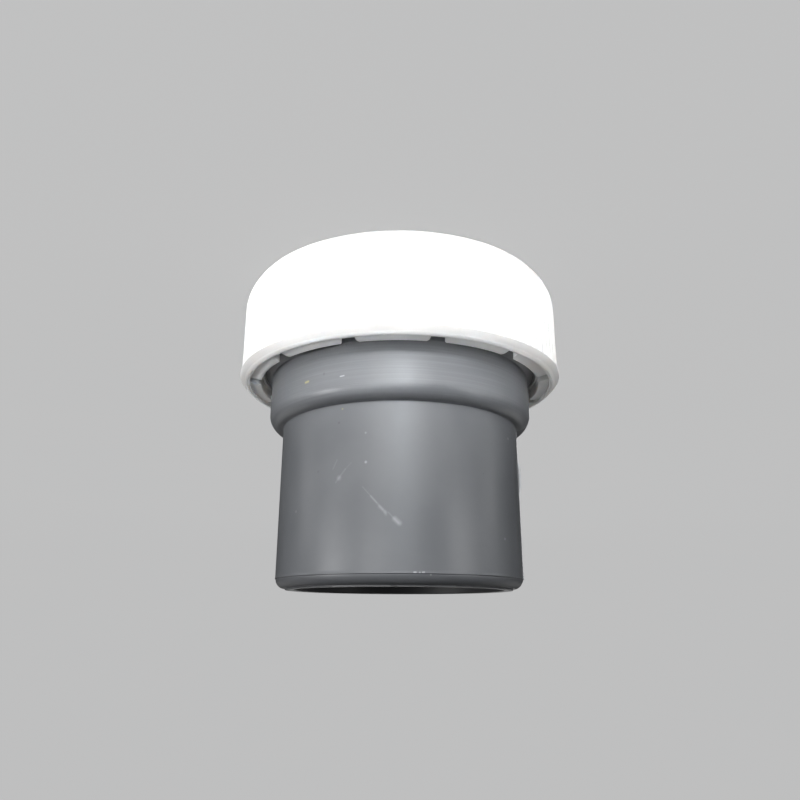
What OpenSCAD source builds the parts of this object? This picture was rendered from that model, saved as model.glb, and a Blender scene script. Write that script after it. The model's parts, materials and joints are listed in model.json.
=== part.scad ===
// Pipe transition adapter for 40 mm waste pipe: a spigot that is solvent welded
// into a socket, and a compression joint that a plain pipe end slides into.
// It stands on the pipe side of its nut, with the pipe's axis along +Z.

/* [Spigot] */
// Outside diameter of the spigot
spigot_d = 40; // [38:0.1:42]
// Length of the spigot, from its end to the head
spigot_len = 26.3; // [20:0.1:40]
// Diameter of the waterway through the spigot
waterway_d = 34; // [30:0.5:35]
// Length of the rounded lead-in near the spigot's end
lead_in_len = 1.65; // [1.6:0.05:2.2]
// Depth of the rounded lead-in near the spigot's end
lead_in_depth = 1.6; // [0.5:0.1:1.6]
// Length of the straight land between the lead-in and the end face
end_land = 0.2; // [0.1:0.05:0.5]

/* [Head] */
// Outside diameter of the head, which is also the root of its thread
head_d = 44.7; // [44:0.1:45.5]
// Length of the head that shows between the nut and the spigot
head_exposed = 7.7; // [6:0.1:12]
// Radius of the rounding where the head drops to the spigot
head_round = 2.2; // [0.5:0.1:2.3]
// Diameter over the thread, a little under the nominal 47.8 of a G1 1/2
thread_d = 47.1; // [46:0.1:47.3]
// Length of the threaded part of the head
thread_len = 10.8; // [8:0.1:11]
// Distance from the nut's rim down to the end of the thread
thread_inset = 1; // [0.5:0.1:2]
// Length of the bevel at each end of the thread
thread_bevel = 0.9; // [0.3:0.1:1.1]

/* [Pipe socket] */
// Diameter of the socket that the plain pipe slides into
socket_d = 40.6; // [40.2:0.1:41]
// Height of the stop at the bottom of the socket above the nut's face
socket_stop_z = 23.4; // [20:0.1:23.8]
// Diameter of the conical seat at the mouth of the socket
seat_d = 43.4; // [42:0.1:43.8]
// Length of the conical seat
seat_len = 5; // [4.5:0.1:6]
// Height of the mouth of the socket above the nut's face
mouth_z = 5; // [4.8:0.1:5.4]

/* [Nut] */
// Outside diameter of the nut over its grip
nut_d = 55.1; // [54:0.1:55.4]
// Height of the nut
nut_h = 17.4; // [16:0.1:20]
// Diameter of the hole that the plain pipe passes through
nut_hole_d = 41.6; // [41:0.1:43]
// Bevel at the mouth of that hole
nut_hole_bevel = 0.6; // [0.2:0.1:1]
// Thickness of the nut's end wall
end_wall = 2.6; // [2:0.1:2.65]
// Diameter of the bore that takes the thread
nut_bore_d = 47.8; // [47.6:0.1:48.2]
// Height of the curved shoulder at the pipe side
shoulder_h = 4.5; // [2:0.1:5]
// Radius of the curved shoulder
shoulder_r = 6; // [5.5:0.1:10]
// Bevel that takes the edge off the pipe side
face_bevel = 0.4; // [0.2:0.1:0.8]
// Diameter of the bead round the nut's rim
bead_d = 55.7; // [55.5:0.1:57]
// Height of that bead
bead_h = 1.3; // [0.8:0.1:2]
// Rounding of the bead's corners
bead_round = 0.45; // [0.1:0.05:0.6]
// Number of grip ribs round the nut
rib_count = 96; // [72:12:108]
// Height of the ribs
rib_depth = 0.3; // [0.1:0.05:0.4]
// Radius of the grooves between the ribs
groove_r = 0.75; // [0.6:0.05:0.8]

/* [Rim lip] */
// Outside diameter of the recessed lip inside the rim
lip_outer_d = 52.2; // [51:0.1:53]
// Inside diameter of the lip
lip_d = 48.3; // [47.9:0.1:49]
// Depth of the recess that leaves a fine step round the lip
lip_recess = 0.25; // [0.1:0.05:0.5]
// Length of the lip's bore
lip_len = 1.6; // [1:0.1:3]
// Number of slots that part the lip into tabs
slot_count = 12; // [6:1:16]
// Width of each slot
slot_w = 2.25; // [1:0.05:3]
// Depth of each slot
slot_depth = 4; // [1:0.1:8]
// Rounding of the tabs' inner corners
tab_round = 0.8; // [0.2:0.1:0.9]
// Turn of the first slot about the axis
slot_turn = 17.2; // [0:0.1:30]

/* [Slip ring] */
// Outside diameter of the slip ring under the seal, which passes through the nut's thread
slip_outer_d = 44.4; // [43:0.1:44.6]
// Inside diameter of the slip ring
slip_inner_d = 41.4; // [41:0.1:42]
// Thickness of the slip ring
slip_h = 1; // [0.5:0.1:1]

/* [Sealing ring] */
// Outside diameter of the sealing ring's collar, which passes through the nut's thread too
seal_collar_d = 44.4; // [43.8:0.1:44.6]
// Inside diameter of the sealing ring
seal_inner_d = 40.9; // [40.7:0.1:41.1]
// Length of the tapered part that enters the seat
seal_taper_len = 2.8; // [1.5:0.1:3]

/* [Hidden] */

$fn = 96;
// Play between faces that only rest on each other
play = 0.1;
// Reach of a cutter past the surface that it cuts
over = 1;

spigot_root_z = nut_h + head_exposed;
spigot_end_z = spigot_root_z + spigot_len;
thread_top_z = nut_h - thread_inset;
thread_foot_z = thread_top_z - thread_len;
bead_z = nut_h - bead_h;
slip_z = end_wall + play;
seal_z = slip_z + slip_h + play;

function seat_r(z) = seat_d / 2 - (seat_d - socket_d) / 2 * (z - mouth_z) / seat_len;

// What a rounding of radius r takes off a square corner at the origin,
// where the material lies at negative x and negative y.
module corner_waste(r) {
    difference() {
        translate([-r, -r]) square(r + over);
        translate([-r, -r]) circle(r);
    }
}

// Section of the spigot: a straight wall, then an arc, then a short land at the end.
module spigot_section() {
    spigot_r = spigot_d / 2;
    end_r = spigot_r - lead_in_depth;
    arc_z = spigot_end_z - end_land - lead_in_len;
    arc_r = (lead_in_len * lead_in_len + lead_in_depth * lead_in_depth) / (2 * lead_in_depth);
    translate([0, spigot_root_z]) square([spigot_r, arc_z - spigot_root_z]);
    translate([0, arc_z]) square([end_r, spigot_end_z - arc_z]);
    intersection() {
        translate([0, arc_z]) square([spigot_r, lead_in_len]);
        translate([spigot_r - arc_r, arc_z]) circle(arc_r);
    }
}

// Section of the head and its thread, without the socket.
module head_section() {
    difference() {
        translate([0, mouth_z]) square([head_d / 2, spigot_root_z - mouth_z]);
        translate([head_d / 2, spigot_root_z]) corner_waste(head_round);
    }
    polygon([
        [0, thread_foot_z],
        [head_d / 2, thread_foot_z],
        [thread_d / 2, thread_foot_z + thread_bevel],
        [thread_d / 2, thread_top_z - thread_bevel],
        [head_d / 2, thread_top_z],
        [0, thread_top_z]
    ]);
}

// Section of the space inside the body: seat, socket and waterway.
module waterway_section() {
    translate([0, mouth_z - over]) square([waterway_d / 2, spigot_end_z - mouth_z + 2 * over]);
    translate([0, mouth_z - over]) square([socket_d / 2, socket_stop_z - mouth_z + over]);
    polygon([
        [0, mouth_z - over],
        [seat_r(mouth_z - over), mouth_z - over],
        [seat_r(mouth_z + seat_len), mouth_z + seat_len],
        [0, mouth_z + seat_len]
    ]);
}

module adapter_body() {
    color([0.45, 0.46, 0.48])
    rotate_extrude()
    difference() {
        union() {
            spigot_section();
            head_section();
        }
        waterway_section();
    }
}

// Outer section of the nut, filled to the axis.
module nut_outer_section() {
    wall_r = nut_d / 2;
    intersection() {
        translate([0, 0]) square([wall_r, nut_h]);
        union() {
            translate([0, shoulder_h]) square([wall_r, nut_h - shoulder_h]);
            translate([0, 0]) square([wall_r - shoulder_r, shoulder_h]);
            translate([wall_r - shoulder_r, shoulder_h]) circle(shoulder_r);
        }
    }
    difference() {
        translate([0, bead_z]) square([bead_d / 2, bead_h]);
        translate([bead_d / 2, nut_h]) corner_waste(bead_round);
        translate([bead_d / 2, bead_z]) mirror([0, 1]) corner_waste(bead_round);
    }
}

// Section of the space inside the nut: pipe hole, thread bore and lip.
module nut_bore_section() {
    translate([0, -over]) square([nut_hole_d / 2, nut_h + 2 * over]);
    polygon([
        [0, -over],
        [nut_hole_d / 2 + nut_hole_bevel + over, -over],
        [nut_hole_d / 2, nut_hole_bevel],
        [0, nut_hole_bevel]
    ]);
    translate([0, end_wall]) square([nut_bore_d / 2, nut_h - end_wall + over]);
    translate([0, nut_h - lip_recess - lip_len]) square([lip_d / 2, lip_recess + lip_len + over]);
    translate([0, nut_h - lip_recess]) square([lip_outer_d / 2, lip_recess + over]);
}

// Ring that bevels the outer edge of the pipe side.
module face_edge_cut() {
    drop = shoulder_r - sqrt(shoulder_r * shoulder_r - shoulder_h * shoulder_h);
    edge_r = nut_d / 2 - drop;
    polygon([
        [edge_r - face_bevel, 0],
        [edge_r - face_bevel, -over],
        [edge_r + over, -over],
        [edge_r + over, face_bevel + over]
    ]);
}

// Outline of one slot, whose mouth rounds the inner corners of the tabs beside it.
module slot_outline() {
    inner_r = lip_d / 2;
    mouth_w = slot_w + 2 * tab_round;
    translate([inner_r - over, -slot_w / 2]) square([lip_outer_d / 2 - inner_r + over, slot_w]);
    difference() {
        translate([inner_r - over, -mouth_w / 2]) square([over + tab_round, mouth_w]);
        for (side = [-1, 1]) {
            translate([inner_r + tab_round, side * mouth_w / 2]) circle(tab_round);
        }
    }
}

module lip_slots() {
    for (i = [0 : slot_count - 1]) {
        rotate(slot_turn + i * 360 / slot_count)
        translate([0, 0, nut_h - lip_recess - slot_depth])
        linear_extrude(slot_depth + lip_recess + over)
        slot_outline();
    }
}

// Round grooves that leave ribs between them and run out on the curved shoulder.
module grip_grooves() {
    for (i = [0 : rib_count - 1]) {
        rotate(i * 360 / rib_count)
        translate([nut_d / 2 + groove_r - rib_depth, 0, -over])
        cylinder(h = bead_z + over, r = groove_r, $fn = 24);
    }
}

module compression_nut() {
    color([0.95, 0.95, 0.94])
    difference() {
        rotate_extrude()
        difference() {
            nut_outer_section();
            nut_bore_section();
            face_edge_cut();
        }
        lip_slots();
        grip_grooves();
    }
}

module slip_ring() {
    color([0.88, 0.88, 0.84])
    translate([0, 0, slip_z])
    difference() {
        cylinder(h = slip_h, d = slip_outer_d);
        translate([0, 0, -over]) cylinder(h = slip_h + 2 * over, d = slip_inner_d);
    }
}

// Rubber ring with a flat collar and a tapered lip that the nut drives into the seat.
module sealing_ring() {
    taper_top_z = mouth_z + seal_taper_len;
    color([0.12, 0.12, 0.13])
    rotate_extrude()
    polygon([
        [seal_inner_d / 2, seal_z],
        [seal_collar_d / 2, seal_z],
        [seal_collar_d / 2, mouth_z],
        [seat_r(mouth_z) - play, mouth_z],
        [seat_r(taper_top_z) - play, taper_top_z],
        [seal_inner_d / 2, taper_top_z]
    ]);
}

compression_nut();
slip_ring();
sealing_ring();
adapter_body();
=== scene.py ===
"""Pipe transition adapter for 40 mm waste pipe: a grey moulded body, a white ribbed
compression nut, and the slip ring and the sealing ring inside the nut.

Each piece is a closed surface on a grid: the rows follow the piece's section, the columns
go round its axis, and both ways close on themselves. The axis is Z, an azimuth counts from
+X towards +Y, and lengths are in millimetres until a mesh is made.
"""

import json
import math

import bpy
import numpy as np
from mathutils import Matrix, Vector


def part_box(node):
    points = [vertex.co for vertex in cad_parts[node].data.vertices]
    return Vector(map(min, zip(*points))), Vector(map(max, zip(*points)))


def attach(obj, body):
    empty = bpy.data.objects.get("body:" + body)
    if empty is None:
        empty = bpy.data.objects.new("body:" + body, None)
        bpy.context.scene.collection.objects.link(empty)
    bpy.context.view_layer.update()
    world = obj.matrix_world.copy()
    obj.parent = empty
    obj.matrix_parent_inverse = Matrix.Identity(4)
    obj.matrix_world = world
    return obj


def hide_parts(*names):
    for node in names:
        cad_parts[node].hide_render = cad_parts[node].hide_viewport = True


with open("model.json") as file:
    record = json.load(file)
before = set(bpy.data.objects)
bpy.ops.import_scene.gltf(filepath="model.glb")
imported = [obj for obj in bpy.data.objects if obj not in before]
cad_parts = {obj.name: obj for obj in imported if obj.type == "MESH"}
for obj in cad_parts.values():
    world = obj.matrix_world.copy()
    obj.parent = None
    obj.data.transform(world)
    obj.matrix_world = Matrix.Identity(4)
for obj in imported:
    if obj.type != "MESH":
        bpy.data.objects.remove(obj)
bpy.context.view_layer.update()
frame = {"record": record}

MM = 0.001
mounts = {mount["name"]: mount for mount in frame["record"]["mounts"]}


def node_box(node):
    """Lowest and highest corner of one of the frame's solids, in millimetres."""
    return [np.array(corner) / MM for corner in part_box(node)]


# Sizes that the frame gives
body_low, body_high = node_box("adapter_body")
nut_low, nut_high = node_box("compression_nut")
MOUTH_Z = body_low[2]
END_Z = body_high[2]
THREAD_R = body_high[0]
SPIGOT_R = mounts["spigot"]["dims"]["r_mm"]
SOCKET_R = mounts["pipe_socket"]["dims"]["r_mm"]
socket_middle = mounts["pipe_socket"]["pos_m"][2] / MM
socket_half = mounts["pipe_socket"]["dims"]["length_mm"] / 2
SEAT_TOP_Z = socket_middle - socket_half
SOCKET_STOP_Z = socket_middle + socket_half
NUT_H = nut_high[2]
BEAD_R = nut_high[0] - 0.01

# Body, apart from the frame's sizes
HEAD_R = 22.35
HEAD_TOP_Z = 25.1
HEAD_ROUND = 2.2
WATERWAY_R = 17.0
SEAT_R = 21.7
THREAD_FOOT_Z = 5.6
THREAD_TOP_Z = 16.4
THREAD_BEVEL = 0.9
COLLAR_H = 1.3
MOULD_LINE_Z = 49.78
MOULD_BURR = 0.05
MOULD_STEP = 0.08
LAND_R = 18.4
LAND_H = 0.2

# Right-handed pipe thread with 11 turns an inch
PITCH = 25.4 / 11
THREAD_H = THREAD_R - HEAD_R
FLANK = 0.96

# Nut
WALL_R = 27.6
HOLE_R = 20.8
HOLE_BEVEL = 0.6
FACE_EDGE_R = 25.12
SHOULDER_FOOT = (25.86, 0.33)
SHOULDER_CORNER_Z = 2.13
SHOULDER_ROUND = 5.98
END_WALL = 2.6
NUT_BORE_R = 23.9
FLARE_Z = 13.4
BEAD_Z = NUT_H - 1.2
BEAD_TOP = (26.9, NUT_H - 0.24)
FACE_GROOVE_R = 26.42
FACE_GROOVE_DEPTH = 0.1
RIB_COUNT = 96
GROOVE_R = 0.75
GROOVE_AXIS_R = 28.0
RIB_SOFTNESS = 0.06
RIB_PHASES = np.array([0, 0.15, 0.26, 0.335, 0.665, 0.74, 0.85])
LIP_OUTER_R = 26.1
LIP_R = 24.15
LIP_RISE_R = 24.6
LIP_Z = NUT_H - 0.25
LIP_TILT = 0.18
LIP_FOOT_Z = LIP_Z - 1.6
SLOT_FLOOR_Z = LIP_Z - 4.0
SLOT_COUNT = 12
SLOT_TURN = 16.8
SLOT_HALF_W = 1.125
SLOT_EDGE = (2.27, 2.57)
SLOT_EASE = 0.6
TAB_ROUND = 0.8
NUT_THREAD_TOP_Z = 15.4
NUT_THREAD_FADE = 1.2

# Parting line's fins, with their columns' offsets in degrees
PARTING_AZIMUTH = 188.5
FIN_HALF_WIDTH = 0.35
FIN_COLUMNS = [-1, -0.35, -0.12, 0, 0.12, 0.35, 1]
FIN_H = 0.1
FIN_RAGGED = 0.07
FIN_RATES = (1.7, 4.3, 7.1, 11.9)
FAR_FIN = 0.4
FIN_WHITE_H = 0.12
FLAP_Z = 33.2
FLAP_HALF_LENGTH = 2.4
FLAP_H = 0.42
BLOB_Z = MOULD_LINE_Z - 0.3
BLOB_HALF_LENGTH = 0.35
BLOB_H = 0.16

# Slip ring and sealing ring
slip_low, slip_high = node_box("slip_ring")
seal_low, seal_high = node_box("sealing_ring")
SLIP_R = slip_high[0]
SLIP_INNER_R = 20.7
SEAL_R = seal_high[0]
SEAL_INNER_R = 20.45
SEAT_PLAY = 0.1

# Edges sharper than this are shaded as edges
SHARP_ANGLE = math.radians(38)


def outline(corners):
    """Rows of a closed section through corners of (radius, height, rounding, arc parts, leg
    parts), going up on the outside.

    A corner's arc touches both its legs, so it starts and ends rounding / tan(opening / 2)
    from the corner, and its points are the weighted sums of its two end arms that turn
    evenly. The leg that follows is cut into equal parts. Returns the radii and heights."""
    corners = np.array(corners, float)
    places, rounding = corners[:, :2], corners[:, 2]
    arc_parts, leg_parts = corners[:, 3:].astype(int).T
    ahead = np.roll(places, -1, axis=0) - places
    ahead /= np.linalg.norm(ahead, axis=1, keepdims=True)
    back = -np.roll(ahead, 1, axis=0)
    opening = np.arccos(np.clip(np.sum(ahead * back, axis=1), -1, 1))
    setback = (rounding / np.tan(opening / 2))[:, None]
    starts = places + back * setback
    ends = places + ahead * setback
    rows = []
    for i, (place, parts) in enumerate(zip(places, arc_parts)):
        rows.append(place[None])
        if parts:
            turn = math.pi - opening[i]
            centre = place + (ahead[i] + back[i]) * rounding[i] / math.sin(turn)
            share = np.linspace(0, 1, parts + 1)[:, None] * turn
            arms = np.sin(turn - share) * (starts[i] - centre) + np.sin(share) * (ends[i] - centre)
            rows[-1] = centre + arms / math.sin(turn)
        share = np.linspace(0, 1, leg_parts[i] + 1)[1:-1, None]
        rows.append(ends[i] + share * (starts[(i + 1) % len(places)] - ends[i]))
    return np.concatenate(rows).T


def closed_surface(name, radius, azimuth, height, finish, shares=None):
    """Piece with a point at (radius cos azimuth, radius sin azimuth, height) for each row and
    column, and a four-sided face between each two rows and columns, the last and the first
    included. shares are named values from 0 to 1 at the points, for the finish."""
    radius, azimuth, height = np.broadcast_arrays(radius, azimuth, height)
    points = np.stack([radius * np.cos(azimuth), radius * np.sin(azimuth), height], axis=-1) * MM
    here = np.arange(radius.size).reshape(radius.shape)
    beside = np.roll(here, -1, axis=1)
    faces = np.stack([here, beside, np.roll(beside, -1, axis=0), np.roll(here, -1, axis=0)], axis=-1)
    mesh = bpy.data.meshes.new(name)
    mesh.vertices.add(here.size)
    mesh.vertices.foreach_set("co", points.astype(np.float32).ravel())
    mesh.loops.add(faces.size)
    mesh.loops.foreach_set("vertex_index", faces.ravel())
    mesh.polygons.add(here.size)
    mesh.polygons.foreach_set("loop_start", np.arange(here.size) * 4)
    mesh.update(calc_edges=True)
    mesh.shade_smooth()
    mesh.set_sharp_from_angle(angle=SHARP_ANGLE)
    for key, values in (shares or {}).items():
        attribute = mesh.attributes.new(key, "FLOAT", "POINT")
        attribute.data.foreach_set("value", np.broadcast_to(values, radius.shape).ravel())
    mesh.materials.append(finish)
    piece = bpy.data.objects.new(name, mesh)
    bpy.context.scene.collection.objects.link(piece)
    return piece


def smooth_rise(value, low, high):
    """0 below low, 1 above high, and 3 t^2 - 2 t^3 between them."""
    share = np.clip((value - low) / (high - low), 0, 1)
    return share * share * (3 - 2 * share)


def thread_flank(azimuth, height):
    """How high a point of a right-handed thread lies, from 0 at the root to 1 at the crest.

    The phase is the height in pitches less the azimuth in turns. The arcsine of the phase's
    cosine has straight flanks, and FLANK, just under 1, rounds the crest and the root."""
    phase = 2 * np.pi * height / PITCH - azimuth
    return 0.5 + np.arcsin(FLANK * np.cos(phase)) / (2 * math.asin(FLANK))


def fin_height(height, reach):
    """Height of the thin fin that the mould's parting line leaves: a low ragged crest, made of
    four sines with no common measure, a torn flap, which is a rounded hump about its middle,
    and a small blob under the mould line."""
    ragged = sum(np.sin(rate * height + rate) for rate in FIN_RATES) / len(FIN_RATES)
    flap = np.exp(-(((height - FLAP_Z) / FLAP_HALF_LENGTH) ** 4))
    blob = np.exp(-(((height - BLOB_Z) / BLOB_HALF_LENGTH) ** 2))
    return reach * (FIN_H + FIN_RAGGED * ragged + FLAP_H * flap + BLOB_H * blob)


def body_moulding(finish):
    """Grey body: a section turned round the axis, with the thread's height and the parting
    line's two fins added to its outside radius.

    The thread is as high as its flank or, near its upper end, its plain collar, whichever is
    higher, and both fall away over a bevel at each end. A fin is highest at the parting line
    and falls to nothing over its half width."""
    radius, height = outline([
        (HEAD_R, MOUTH_Z, 0.3, 3, 1),
        (HEAD_R, THREAD_FOOT_Z, 0, 0, 76),
        (HEAD_R, THREAD_TOP_Z, 0, 0, 16),
        (HEAD_R, HEAD_TOP_Z, HEAD_ROUND, 12, 1),
        (SPIGOT_R, HEAD_TOP_Z, 0.12, 3, 90),
        (SPIGOT_R, MOULD_LINE_Z - 0.25, 0, 0, 1),
        (SPIGOT_R + MOULD_BURR, MOULD_LINE_Z - 0.03, 0.03, 2, 1),
        (SPIGOT_R - MOULD_STEP, MOULD_LINE_Z + 0.02, 0.03, 2, 1),
        (SPIGOT_R - MOULD_STEP, END_Z - LAND_H, 1.4, 12, 1),
        (LAND_R, END_Z - LAND_H, 0, 0, 1),
        (LAND_R, END_Z, 0.05, 2, 1),
        (WATERWAY_R, END_Z, 0.15, 3, 12),
        (WATERWAY_R, SOCKET_STOP_Z, 0.3, 3, 2),
        (SOCKET_R, SOCKET_STOP_Z, 0.2, 3, 6),
        (SOCKET_R, SEAT_TOP_Z, 0, 0, 3),
        (SEAT_R, MOUTH_Z, 0.15, 3, 1),
    ])
    radius, height = radius[:, None], height[:, None]
    half = np.concatenate([FIN_COLUMNS, np.linspace(2.5, 177.5, 117)])
    azimuth = np.radians(PARTING_AZIMUTH + np.concatenate([half, half + 180]))
    outside = (radius > (SEAT_R + HEAD_R) / 2) & (height < THREAD_TOP_Z + 0.01)
    collar = smooth_rise(height, THREAD_TOP_Z - COLLAR_H - 0.3, THREAD_TOP_Z - COLLAR_H)
    bevel = np.clip(np.minimum(height - THREAD_FOOT_Z, THREAD_TOP_Z - height) / THREAD_BEVEL, 0, 1)
    thread = np.maximum(thread_flank(azimuth, height), collar) * bevel * THREAD_H * outside
    skin = (radius > SPIGOT_R - 0.5) & (height > THREAD_TOP_Z) & (height < MOULD_LINE_Z + 0.5)
    offset = np.degrees((azimuth - np.radians(PARTING_AZIMUTH) + np.pi / 2) % np.pi - np.pi / 2)
    near = np.clip(1 - np.abs(offset) / FIN_HALF_WIDTH, 0, 1)
    reach = np.where(np.cos(azimuth) < 0, 1.0, FAR_FIN)
    fin = near * fin_height(height, reach) * skin
    whitened = {"fin": np.clip(fin / FIN_WHITE_H, 0, 1)}
    return closed_surface("body_moulding", radius + thread + fin, azimuth, height, finish, whitened)


def groove_floor(azimuth):
    """Radius of the grooves between the ribs: the near side of a cylinder of GROOVE_R whose axis
    stands at GROOVE_AXIS_R, and that axis's radius, outside the wall, beside it."""
    pitch = 2 * np.pi / RIB_COUNT
    aside = (azimuth + pitch / 2) % pitch - pitch / 2
    across = GROOVE_AXIS_R * np.sin(aside)
    return GROOVE_AXIS_R * np.cos(aside) - np.sqrt(np.clip(GROOVE_R**2 - across**2, 0, None))


def slot_half_angle(radius):
    """Half of the angle that a slot of the lip takes up at a radius: its half width, which grows
    by a quarter circle towards the mouth, over the radius, as an arcsine."""
    depth = np.clip(LIP_R + TAB_ROUND - radius, 0, TAB_ROUND)
    half_width = SLOT_HALF_W + TAB_ROUND - np.sqrt(TAB_ROUND**2 - depth**2)
    return np.arcsin(half_width / radius)


def nut_columns():
    """Columns of one slot's share of the nut, as angles from the slot's middle, and how far each
    stands from the tabs' section, 0, to the slots' section, 1.

    Each rib has seven columns, closest at its edges. Four more stand at each edge of the
    slot, and those beyond them belong to the tabs."""
    rib = np.degrees(2 * np.pi / RIB_COUNT)
    share = 360 / SLOT_COUNT
    ribs = (np.arange(RIB_COUNT // SLOT_COUNT)[:, None] + RIB_PHASES).ravel() * rib
    ribs = (ribs - SLOT_TURN + share / 2) % share - share / 2
    edges = np.linspace(*SLOT_EDGE, 4)
    angles = np.sort(np.concatenate([ribs, edges, -edges]))
    return np.radians(angles), np.interp(np.abs(angles), SLOT_EDGE, [1, 0])


def ribbed_nut(finish):
    """White nut, whose section goes from the tabs' to the slots' and back twelve times.

    Below the bead, its outside radius is the softened lower one of the section's and the
    grooves' floor. Inside, a column at a slot's edge is turned to the slot's half angle at
    its own radius, those between the edges are spread evenly by hat functions, and below
    the slots all come back to their own angles. The thread inside is the body's own, half a
    pitch on and turned inwards, so the two mesh however far the nut is screwed."""
    pipe_side = [
        (HOLE_R, HOLE_BEVEL, 0.15, 2, 1),
        (HOLE_R + HOLE_BEVEL, 0, 0.15, 2, 1),
        (FACE_EDGE_R, 0, 0.1, 2, 1),
        (*SHOULDER_FOOT, 0, 0, 1),
        (WALL_R, SHOULDER_CORNER_Z, SHOULDER_ROUND, 10, 3),
        (WALL_R, FLARE_Z, 12.0, 2, 4),
        (BEAD_R, BEAD_Z, 0.12, 2, 3),
        (*BEAD_TOP, 0.35, 5, 1),
        (FACE_GROOVE_R + 0.12, NUT_H, 0, 0, 1),
        (FACE_GROOVE_R, NUT_H - FACE_GROOVE_DEPTH, 0, 0, 1),
        (FACE_GROOVE_R - 0.1, NUT_H, 0.04, 2, 1),
        (LIP_OUTER_R, NUT_H, 0.06, 2, 1),
    ]
    tab = [
        (LIP_OUTER_R, LIP_Z - LIP_TILT, 0, 0, 8),
        (LIP_RISE_R, LIP_Z + LIP_TILT, 0.1, 2, 2),
        (LIP_R + 0.05, NUT_H, 0.1, 4, 2),
        (LIP_R, LIP_FOOT_Z, 0, 0, 1),
        (NUT_BORE_R, LIP_FOOT_Z - 0.05, 0, 0, 9),
    ]
    slot = [
        (LIP_OUTER_R, LIP_Z, 0, 0, 8),
        (LIP_OUTER_R, LIP_Z - 2.0, 0, 0, 4),
        (LIP_OUTER_R, SLOT_FLOOR_Z, 0.3, 4, 2),
        (LIP_OUTER_R - 0.8, SLOT_FLOOR_Z, 0, 0, 1),
        (LIP_OUTER_R - 1.0, SLOT_FLOOR_Z, 0, 0, 9),
    ]
    bore = [
        (NUT_BORE_R, SLOT_FLOOR_Z, 0, 0, 36),
        (NUT_BORE_R, END_WALL, 0.3, 3, 1),
        (HOLE_R, END_WALL, 0.15, 2, 1),
    ]
    tab_radius, tab_height = outline(pipe_side + tab + bore)
    slot_radius, slot_height = outline(pipe_side + slot + bore)
    angles, depth = nut_columns()
    radius = tab_radius[:, None] * (1 - depth) + slot_radius[:, None] * depth
    height = tab_height[:, None] * (1 - depth) + slot_height[:, None] * depth

    from_middle = np.abs(np.degrees(angles))
    knots = np.flatnonzero((from_middle > SLOT_EDGE[0] - 0.01) & (from_middle < SLOT_EDGE[1] + 0.01))
    side = np.sign(angles[knots])
    half_share = np.pi / SLOT_COUNT
    turned = side * slot_half_angle(radius[:, knots])
    ends = np.full((len(radius), 1), half_share)
    turned = np.hstack([-ends, turned, ends])
    stops = np.array([-half_share, *angles[knots], half_share])
    hats = np.array([np.interp(angles, stops, row) for row in np.eye(len(stops))])
    inside = (tab_radius < LIP_OUTER_R + 0.001) & (tab_height > HOLE_BEVEL + 0.2)
    in_slots = inside * smooth_rise(tab_height, SLOT_FLOOR_Z - SLOT_EASE, SLOT_FLOOR_Z)
    angle = angles + in_slots[:, None] * (turned @ hats - angles)
    middles = np.radians(SLOT_TURN) + 2 * half_share * np.arange(SLOT_COUNT)
    azimuth = (middles[:, None] + angle[:, None, :]).reshape(len(angle), -1)
    radius, height = np.tile(radius, SLOT_COUNT), np.tile(height, SLOT_COUNT)
    inside = inside[:, None]

    groove = groove_floor(azimuth)
    ribbed = (radius + groove - np.hypot(radius - groove, RIB_SOFTNESS)) / 2
    below_bead = (height < BEAD_Z + 0.01) & (radius > FACE_EDGE_R) & ~inside
    threaded = inside & (np.abs(radius - NUT_BORE_R) < 0.001)
    fade = smooth_rise(height, END_WALL, END_WALL + NUT_THREAD_FADE)
    fade = fade * smooth_rise(-height, -NUT_THREAD_TOP_Z, NUT_THREAD_FADE - NUT_THREAD_TOP_Z)
    thread = THREAD_H * thread_flank(azimuth + np.pi, height) * fade * threaded
    radius = np.where(below_bead, ribbed, radius) - thread
    return closed_surface("ribbed_nut", radius, azimuth, height, finish)


def plain_ring(name, corners, finish):
    """Ring with the same section all round."""
    radius, height = outline(corners)
    azimuth = np.linspace(0, 2 * np.pi, 240, endpoint=False)
    return closed_surface(name, radius[:, None], azimuth, height[:, None], finish)


def slip_washer(finish):
    """Thin flat ring with softened edges."""
    low, high = slip_low[2], slip_high[2]
    return plain_ring("slip_washer", [
        (SLIP_INNER_R, low, 0.15, 3, 1),
        (SLIP_R, low, 0.15, 3, 1),
        (SLIP_R, high, 0.15, 3, 1),
        (SLIP_INNER_R, high, 0.15, 3, 1),
    ], finish)


def rubber_seal(finish):
    """Ring with a flat collar and a tapered lip that follows the body's seat."""
    low, high = seal_low[2], seal_high[2]
    slope = (SEAT_R - SOCKET_R) / (SEAT_TOP_Z - MOUTH_Z)
    return plain_ring("rubber_seal", [
        (SEAL_INNER_R, low, 0.2, 3, 1),
        (SEAL_R, low, 0.3, 4, 1),
        (SEAL_R, MOUTH_Z, 0.2, 3, 1),
        (SEAT_R - SEAT_PLAY, MOUTH_Z, 0, 0, 4),
        (SEAT_R - SEAT_PLAY - slope * (high - MOUTH_Z), high, 0.12, 3, 1),
        (SEAL_INNER_R, high, 0.12, 3, 4),
    ], finish)


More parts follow.
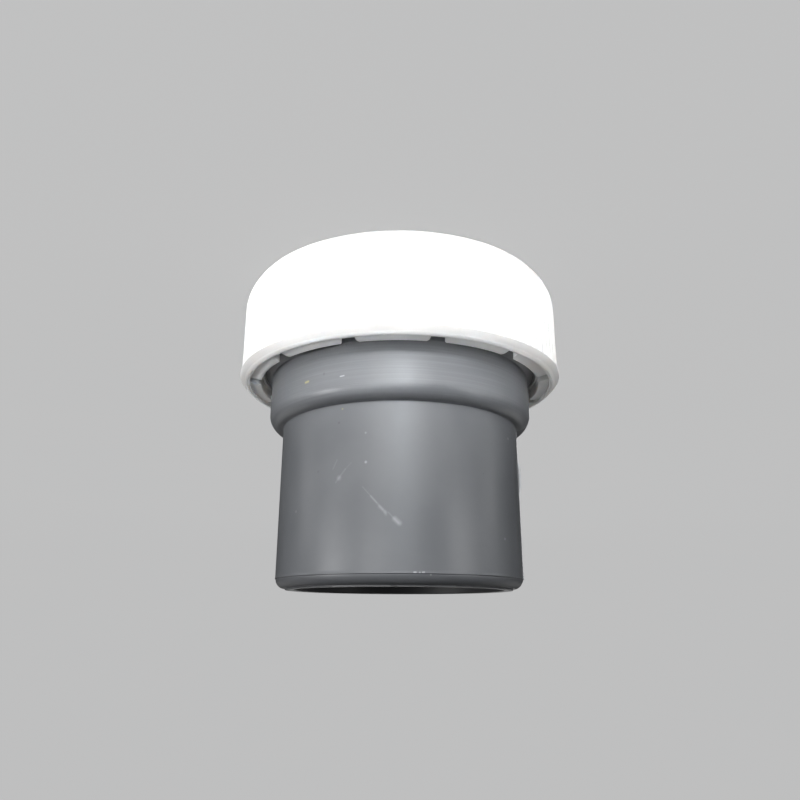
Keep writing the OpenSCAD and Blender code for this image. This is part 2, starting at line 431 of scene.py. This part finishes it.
class Value:
    """A number, colour or vector that varies over a surface. Arithmetic adds Math nodes."""

    def __init__(self, finish, socket):
        self.finish = finish
        self.socket = socket

    def math(self, operation, *others):
        return self.finish.node("ShaderNodeMath", {"operation": operation}, [self, *others])[0]

    def __add__(self, other):
        return self.math("ADD", other)

    def __sub__(self, other):
        return self.math("SUBTRACT", other)

    def __rsub__(self, other):
        return self * -1.0 + other

    def __mul__(self, other):
        return self.math("MULTIPLY", other)

    def __pow__(self, other):
        return self.math("POWER", other)

    def __neg__(self):
        return self * -1.0

    __radd__ = __add__
    __rmul__ = __mul__

    def rise(self, low, high):
        """0 at low, 1 at high and smooth between them, whichever of the two is larger."""
        return self.finish.node(
            "ShaderNodeMapRange",
            {"interpolation_type": "SMOOTHSTEP"},
            {"Value": self, "From Min": low, "From Max": high},
        )[0]


class Finish:
    """Procedural material with its own small node language."""

    def __init__(self, name):
        self.material = bpy.data.materials.new(name)
        self.material.use_nodes = True
        self.tree = self.material.node_tree
        self.tree.nodes.clear()
        metres = self.node("ShaderNodeTexCoord")[3]
        self.place = self.vector("SCALE", {0: metres, "Scale": 1 / MM})[0]
        self.x, self.y, self.z = self.node("ShaderNodeSeparateXYZ", {}, [self.place])
        self.radius = (self.x * self.x + self.y * self.y) ** 0.5

    def node(self, kind, settings=None, values=()):
        """Adds a node: first its settings, then the values or links of its sockets, by name or
        by number. Returns its outputs."""
        made = self.tree.nodes.new(kind)
        for name, setting in (settings or {}).items():
            setattr(made, name, setting)
        for key, value in values.items() if isinstance(values, dict) else enumerate(values):
            if isinstance(value, Value):
                self.tree.links.new(value.socket, made.inputs[key])
            else:
                made.inputs[key].default_value = value
        return [Value(self, output) for output in made.outputs]

    def vector(self, operation, values):
        return self.node("ShaderNodeVectorMath", {"operation": operation}, values)

    def noise(self, place, scale, detail=2.0):
        """Smooth noise about 0.5, with scale bumps a millimetre."""
        sockets = {"Vector": place, "Scale": scale, "Detail": detail}
        return self.node("ShaderNodeTexNoise", {}, sockets)[0]

    def mix(self, share, low, high):
        """Colour that goes from low to high as share goes from 0 to 1."""
        return self.node("ShaderNodeMix", {"data_type": "RGBA"}, {0: share, 6: low, 7: high})[2]

    def bump(self, height, strength):
        """Normal of a surface raised by height, in millimetres."""
        sockets = {"Strength": strength, "Distance": MM, "Height": height}
        return self.node("ShaderNodeBump", {}, sockets)[0]

    def surface(self, sockets):
        """Closes the material with a Principled shader and returns it."""
        shader = self.node("ShaderNodeBsdfPrincipled", {}, sockets)[0]
        self.node("ShaderNodeOutputMaterial", {}, {"Surface": shader})
        return self.material


def unrolled(finish):
    """The surface unrolled on a plane: first the way round from the front, which faces -Y, in
    millimetres towards +X, then the height."""
    turn = finish.x.math("ARCTAN2", -finish.y)
    return finish.node("ShaderNodeCombineXYZ", {}, [turn * finish.radius, finish.z, 0.0])[0]


def at(turn, height, radius=SPIGOT_R):
    """Place on the unrolled surface of a point turned by some degrees from the front."""
    return (math.radians(turn) * radius, height, 0.0)


def spot(finish, surface, place, size):
    """Mask of a round mark: 1 in its middle and 0 past its size."""
    distance = finish.vector("DISTANCE", {0: surface, 1: place})[1]
    return distance.rise(size, 0.0)


def stroke(finish, surface, start, end, width):
    """Mask of a straight mark: the way along it is held between 0 and 1, and the distance is
    taken from the nearest point of it."""
    way = np.subtract(end, start)
    share = tuple(way / (way @ way))
    from_start = finish.vector("SUBTRACT", {0: surface, 1: start})[0]
    along = finish.vector("DOT_PRODUCT", {0: from_start, 1: share})[1]
    held = finish.node("ShaderNodeClamp", {}, {"Value": along})[0]
    on_line = finish.vector("SCALE", {0: tuple(way), "Scale": held})[0]
    distance = finish.vector("DISTANCE", {0: from_start, 1: on_line})[1]
    return distance.rise(width, 0.0)


def marked(finish, surface, colour, strokes, spots, tone):
    """The colour with strokes and spots of another tone on it, each with its own strength."""
    masks = [stroke(finish, surface, *shape) * strength for *shape, strength in strokes]
    masks += [spot(finish, surface, *shape) * strength for *shape, strength in spots]
    for mask in masks:
        colour = finish.mix(mask, colour, tone)
    return colour


# Marks on the body: a stroke has its two ends, width and strength, and a spot its place, size
# and strength
SCRATCHES_AND_LAND_HIGHLIGHT = [
    (at(14.6, 37.8), at(8.6, 40.1), 0.14, 0.07),
    (at(11.0, 39.2), at(6.0, 41.1), 0.26, 0.10),
    (at(7.4, 40.7), at(4.9, 41.5), 0.40, 0.11),
    (at(5.2, 41.4), at(4.8, 41.8), 0.36, 0.08),
    (at(3.8, 41.5), at(-0.2, 43.0), 0.18, 0.08),
    (at(1.2, 42.4), at(-0.6, 43.0), 0.58, 0.22),
    (at(26.8, 36.9), at(22.5, 35.1), 0.24, 0.07),
    (at(22.5, 35.1), at(19.8, 34.2), 0.18, 0.04),
    (at(26.5, 33.6), at(28.4, 34.9), 0.20, 0.06),
    (at(-6.4, 49.60), at(-7.2, 49.60), 0.16, 0.50),
    (at(-9.8, 49.60), at(-10.5, 49.58), 0.17, 0.45),
    (at(21.0, 21.6, HEAD_R), at(22.5, 21.65, HEAD_R), 0.17, 0.50),
    # The last two strokes are a painted highlight along the edge of the end's land, not scratches.
    (at(30.0, END_Z, LAND_R), at(3.4, END_Z, LAND_R), 0.24, 0.50),
    (at(0.0, END_Z, LAND_R), at(-26.0, END_Z, LAND_R), 0.24, 0.30),
]
WHITE_SPECKS = [
    (at(25.3, 36.3), 0.60, 0.16),
    (at(13.4, 34.25), 0.32, 0.35),
    (at(13.7, 29.9), 0.25, 0.20),
    (at(50.3, 40.4), 0.30, 0.30),
    (at(-60.3, 28.35), 0.35, 0.40),
    (at(-52.6, 44.3), 0.30, 0.35),
    (at(-8.7, 49.62), 0.20, 0.40),
    (at(-13.1, 49.9), 0.22, 0.45),
]
DARK_SPECKS = [
    (at(26.1, 28.0), 0.28, 0.60),
    (at(36.4, 35.0), 0.30, 0.35),
    (at(29.9, 20.8, HEAD_R), 0.35, 0.40),
    (at(-39.3, 35.1), 0.18, 0.40),
]
YELLOW_MARKS = [(at(37.8, 21.4, HEAD_R), at(39.3, 21.45, HEAD_R), 0.30, 0.80)]
YELLOW_SPECKS = [(at(24.6, 25.9), 0.25, 0.48)]


def grey_pvc():
    """Semi-gloss grey moulding with fine streaks round the head from the mould's turning, the head
    and its streaks painted paler as painted light from the bright nut and painted highlight,
    scratches and specks, a painted highlight along the end's land, painted shade at the mould
    line's step, painted shade on the rougher end beyond it, whitened fins and painted shade in
    the waterway."""
    finish = Finish("grey_pvc")
    surface = unrolled(finish)
    cloudy = finish.noise(finish.place, 0.12, 3.0)
    fine = finish.noise(finish.place, 3.0)
    rings = finish.noise(finish.vector("MULTIPLY", {0: surface, 1: (0.05, 4.0, 1.0)})[0], 1.0, 3.0)
    on_head = finish.z.rise(HEAD_TOP_Z, HEAD_TOP_Z - 1)
    streaks = rings.rise(0.35, 0.75) * on_head
    colour = finish.mix(cloudy.rise(0.3, 0.7), (0.120, 0.125, 0.134, 1), (0.134, 0.139, 0.148, 1))
    # Painted light: the head is painted paler, standing in for light thrown onto it by the bright
    # nut, and its turning streaks are painted lighter as painted highlight streaks.
    colour = finish.mix(0.35 * on_head + 0.4 * streaks, colour, (0.185, 0.190, 0.200, 1))
    # Whitish scratches and specks, and a painted highlight along the end's land.
    colour = marked(finish, surface, colour, SCRATCHES_AND_LAND_HIGHLIGHT, WHITE_SPECKS, (0.62, 0.63, 0.64, 1))
    colour = marked(finish, surface, colour, [], DARK_SPECKS, (0.05, 0.05, 0.055, 1))
    colour = marked(finish, surface, colour, YELLOW_MARKS, YELLOW_SPECKS, (0.42, 0.38, 0.16, 1))

    # Painted shade: a dark line painted at the mould line's small step, where its upward face lies
    # in shade.
    line = (finish.z - (MOULD_LINE_Z + 0.02)).math("ABSOLUTE")
    colour = finish.mix(line.rise(0.09, 0.03) * 0.7, colour, (0.02, 0.02, 0.025, 1))
    fin = finish.node("ShaderNodeAttribute", {"attribute_name": "fin"})[2]
    colour = finish.mix(fin.rise(0.25, 0.9) * 0.85, colour, (0.60, 0.61, 0.62, 1))
    # Painted shade: the end beyond the mould line is painted darker for the shade on its upturned
    # rounding; it is also rougher.
    past_line = finish.z.rise(MOULD_LINE_Z, MOULD_LINE_Z + 0.3)
    colour = finish.mix(past_line * 0.5, colour, (0.05, 0.052, 0.056, 1))
    # Painted shade: the waterway's inside is painted nearly black for the shade inside the bore.
    waterway = finish.radius.rise(WATERWAY_R + 0.2, WATERWAY_R + 0.05)
    colour = finish.mix(waterway * 0.8, colour, (0.02, 0.02, 0.022, 1))

    sheen = 0.37 - 0.04 * on_head + 0.15 * past_line
    relief = fine * 0.004 + (rings * on_head) * 0.010
    return finish.surface({
        "Base Color": colour,
        "Roughness": sheen + 0.10 * (fine - 0.5) + 0.12 * (cloudy - 0.5) + 0.2 * fin,
        "IOR": 1.52,
        "Normal": finish.bump(relief, 0.6),
    })


def white_pp():
    """Satin white moulding, slightly clouded, whose edges let a little light through and whose
    bead is a little rougher than its wall and painted darker as painted shade."""
    finish = Finish("white_pp")
    cloudy = finish.noise(finish.place, 0.15, 3.0)
    fine = finish.noise(finish.place, 2.5)
    colour = finish.mix(cloudy.rise(0.3, 0.7), (0.850, 0.842, 0.828, 1), (0.885, 0.878, 0.866, 1))
    # Painted shade: the bead is painted darker than the wall, which is the same plastic; it is also
    # a little rougher.
    bead = finish.radius.rise(BEAD_TOP[0], BEAD_TOP[0] + 0.2) * finish.z.rise(BEAD_Z - 0.3, BEAD_Z)
    return finish.surface({
        "Base Color": finish.mix(0.5 * bead, colour, (0.600, 0.590, 0.575, 1)),
        "Roughness": 0.38 + 0.12 * (cloudy - 0.5) + 0.1 * bead,
        "IOR": 1.5,
        "Subsurface Weight": 1.0,
        "Subsurface Radius": (1.0, 0.95, 0.9),
        "Subsurface Scale": 1.0 * MM,
        "Normal": finish.bump(fine * 0.005, 0.5),
    })


def natural_pp():
    """Uncoloured, slightly milky ring."""
    finish = Finish("natural_pp")
    cloudy = finish.noise(finish.place, 0.3, 3.0)
    return finish.surface({
        "Base Color": finish.mix(cloudy, (0.62, 0.62, 0.57, 1), (0.72, 0.72, 0.68, 1)),
        "Roughness": 0.42 + 0.1 * (cloudy - 0.5),
        "Normal": finish.bump(finish.noise(finish.place, 2.0) * 0.004, 0.5),
    })


def black_rubber():
    """Matt rubber with a faint bloom."""
    finish = Finish("black_rubber")
    bloom = finish.noise(finish.place, 0.5, 4.0)
    colour = finish.mix(bloom.rise(0.4, 0.8), (0.018, 0.018, 0.020, 1), (0.045, 0.045, 0.048, 1))
    return finish.surface({
        "Base Color": colour,
        "Roughness": 0.65 + 0.2 * (bloom - 0.5),
        "Normal": finish.bump(finish.noise(finish.place, 5.0, 4.0) * 0.01, 0.6),
    })


# Floor, in metres
FLOOR_FLAT = 0.15
FLOOR_REACH = 1.0
FLOOR_RISE = 0.7


def pale_floor():
    """Stage that glows evenly and hardly takes any light, so no patch of light shows on it."""
    finish = Finish("pale_stage")
    grain = finish.noise(finish.place, 0.02, 3.0)
    return finish.surface({
        "Base Color": finish.mix(grain, (0.020, 0.020, 0.020, 1), (0.030, 0.030, 0.030, 1)),
        "Roughness": 0.8,
        "Specular IOR Level": 0.0,
        "Emission Color": finish.mix(grain, (0.99, 0.995, 1.0, 1), (1.0, 1.0, 1.0, 1)),
        "Emission Strength": 0.52,
    })


def studio_floor(finish):
    """Square floor that sweeps up all round: its height is the cube of the way past the flat
    part, so no edge shows behind the object. It keeps its own glow off the object and lets the
    low lamps shine through."""
    side = np.linspace(-1, 1, 161) * FLOOR_REACH
    x, y = np.meshgrid(side, side)
    past = np.clip(np.hypot(x, y) - FLOOR_FLAT, 0, None) / (FLOOR_REACH - FLOOR_FLAT)
    points = np.stack([x, y, FLOOR_RISE * past**3], axis=-1).reshape(-1, 3)
    here = np.arange(x.size).reshape(x.shape)
    faces = np.stack([here[:-1, :-1], here[:-1, 1:], here[1:, 1:], here[1:, :-1]], axis=-1)
    mesh = bpy.data.meshes.new("studio_floor")
    mesh.from_pydata(points.tolist(), [], faces.reshape(-1, 4).tolist())
    mesh.shade_smooth()
    mesh.materials.append(finish)
    floor = bpy.data.objects.new("studio_floor", mesh)
    bpy.context.scene.collection.objects.link(floor)
    floor.visible_shadow = False
    floor.visible_glossy = False
    floor.visible_diffuse = False


# Each arc of lamps has its middle, its beam's spread and its rise in degrees, its distance,
# width and height in metres, and its lamps' powers in milliwatts by azimuth
OBJECT_MIDDLE = (0.0, 0.0, 0.022)
NUT_MIDDLE = (0.0, 0.0, 0.008)
RIM_MIDDLE = (0.0, 0.0, 0.011)
ARCS = [
    (OBJECT_MIDDLE, 180, -23.6, 0.128, 0.060, 0.012, {-60: 10.6, 3: 21.0, 65: 5.3}),
    (OBJECT_MIDDLE, 180, -12.0, 0.125, 0.030, 0.009, {-60: 2.9, -35: 10.4, -15: 23.0, 3: 34.5}),
    (OBJECT_MIDDLE, 180, -12.0, 0.125, 0.030, 0.009, {20: 16.5, 40: 9.1, 65: 1.6}),
    (OBJECT_MIDDLE, 180, 0.0, 0.252, 0.120, 0.030, {-30: 12.5, 3: 68.0}),
    (OBJECT_MIDDLE, 180, 6.0, 0.130, 0.040, 0.012, {50: 15.0}),
    (OBJECT_MIDDLE, 180, 11.0, 0.130, 0.040, 0.012, {-45: 7.3, -20: 19.0}),
    (OBJECT_MIDDLE, 180, -8.0, 0.400, 0.100, 0.030, {-90: 62.0, 90: 62.0}),
    (OBJECT_MIDDLE, 180, 10.0, 0.320, 0.100, 0.080, {-60: 340.0, 65: 100.0}),
    (OBJECT_MIDDLE, 180, 30.0, 0.320, 0.150, 0.150, {-135: 60.0, 135: 60.0}),
    (OBJECT_MIDDLE, 180, 20.0, 0.320, 0.150, 0.150, {180: 100.0}),
    (NUT_MIDDLE, 30, -25.0, 0.120, 0.030, 0.012, {-80: 2.0, -45: 1.3, 45: 1.3, 80: 1.7}),
    (RIM_MIDDLE, 16, 16.0, 0.130, 0.060, 0.006, {3: 1.2}),
]

# The lamps in front are a little cooler
FRONT_AZIMUTH = 3
FRONT_TINT = (0.93, 0.97, 1.0)

# Faint light from all round
AIR_GLOW = 0.02


def lamp(name, middle, spread, rise, distance, width, height, azimuth, power):
    """Soft lamp that faces a middle point and doesn't show itself.

    Its beam opens by the spread. It stands at an azimuth from the front, in degrees towards
    the picture's right, and rises by some degrees over the middle."""
    light = bpy.data.lights.new(name, "AREA")
    light.shape = "RECTANGLE"
    light.size = width
    light.size_y = height
    light.energy = power / 1000
    light.spread = math.radians(spread)
    if azimuth == FRONT_AZIMUTH:
        light.color = FRONT_TINT
    fixture = bpy.data.objects.new(name, light)
    turn = Matrix.Rotation(math.radians(-azimuth), 4, "Z")
    tilt = Matrix.Rotation(math.radians(90 - rise), 4, "X")
    away = Matrix.Translation((0, 0, distance))
    fixture.matrix_world = Matrix.Translation(middle) @ turn @ tilt @ away
    fixture.visible_camera = False
    bpy.context.scene.collection.objects.link(fixture)


def studio_lights():
    """Low arcs of small lamps close to the front, larger ones at the sides and behind, narrow
    ones for the nut's sides and its rim, and a faint light from all round."""
    for arc, (*place, powers) in enumerate(ARCS):
        for azimuth, power in powers.items():
            lamp(f"lamp_{arc}_{azimuth}", *place, azimuth, power)
    world = bpy.data.worlds.new("studio_air")
    world.use_nodes = True
    air = world.node_tree.nodes["Background"]
    air.inputs["Color"].default_value = (1, 1, 1, 1)
    air.inputs["Strength"].default_value = AIR_GLOW
    bpy.context.scene.world = world
    bpy.context.scene.view_settings.view_transform = "Standard"


# Camera's place in metres, its turns in degrees, and its sensor and lens in millimetres
CAMERA_PLACE = (-0.00113, -0.11509, 0.05525)
CAMERA_TURN = -0.53
CAMERA_TILT = 17.6
CAMERA_ROLL = 180.19
SENSOR_WIDTH = 36.0
FOCAL_LENGTH = 30.6


def photo_camera():
    """Camera at the photograph's viewing angle: in front of the body, a little above the
    spigot's end, tilted down, and rolled half a turn so that the nut is at the top."""
    lens = bpy.data.cameras.new("photo_camera")
    lens.sensor_width = SENSOR_WIDTH
    lens.lens = FOCAL_LENGTH
    lens.clip_start = 0.001
    camera = bpy.data.objects.new("photo_camera", lens)
    turn = Matrix.Rotation(math.radians(CAMERA_TURN), 4, "Z")
    tilt = Matrix.Rotation(math.radians(90 - CAMERA_TILT), 4, "X")
    roll = Matrix.Rotation(math.radians(CAMERA_ROLL), 4, "Z")
    camera.matrix_world = Matrix.Translation(CAMERA_PLACE) @ turn @ tilt @ roll
    bpy.context.scene.collection.objects.link(camera)
    bpy.context.scene.camera = camera


photo_camera()
studio_lights()
studio_floor(pale_floor())

for piece, body, node, slot in [
    (body_moulding(grey_pvc()), "adapter", "adapter_body", "grey_body"),
    (ribbed_nut(white_pp()), "nut", "compression_nut", "white_nut"),
    (slip_washer(natural_pp()), "slip", "slip_ring", "natural_ring"),
    (rubber_seal(black_rubber()), "adapter", "sealing_ring", "black_seal"),
]:
    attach(piece, body)
    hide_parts(node)
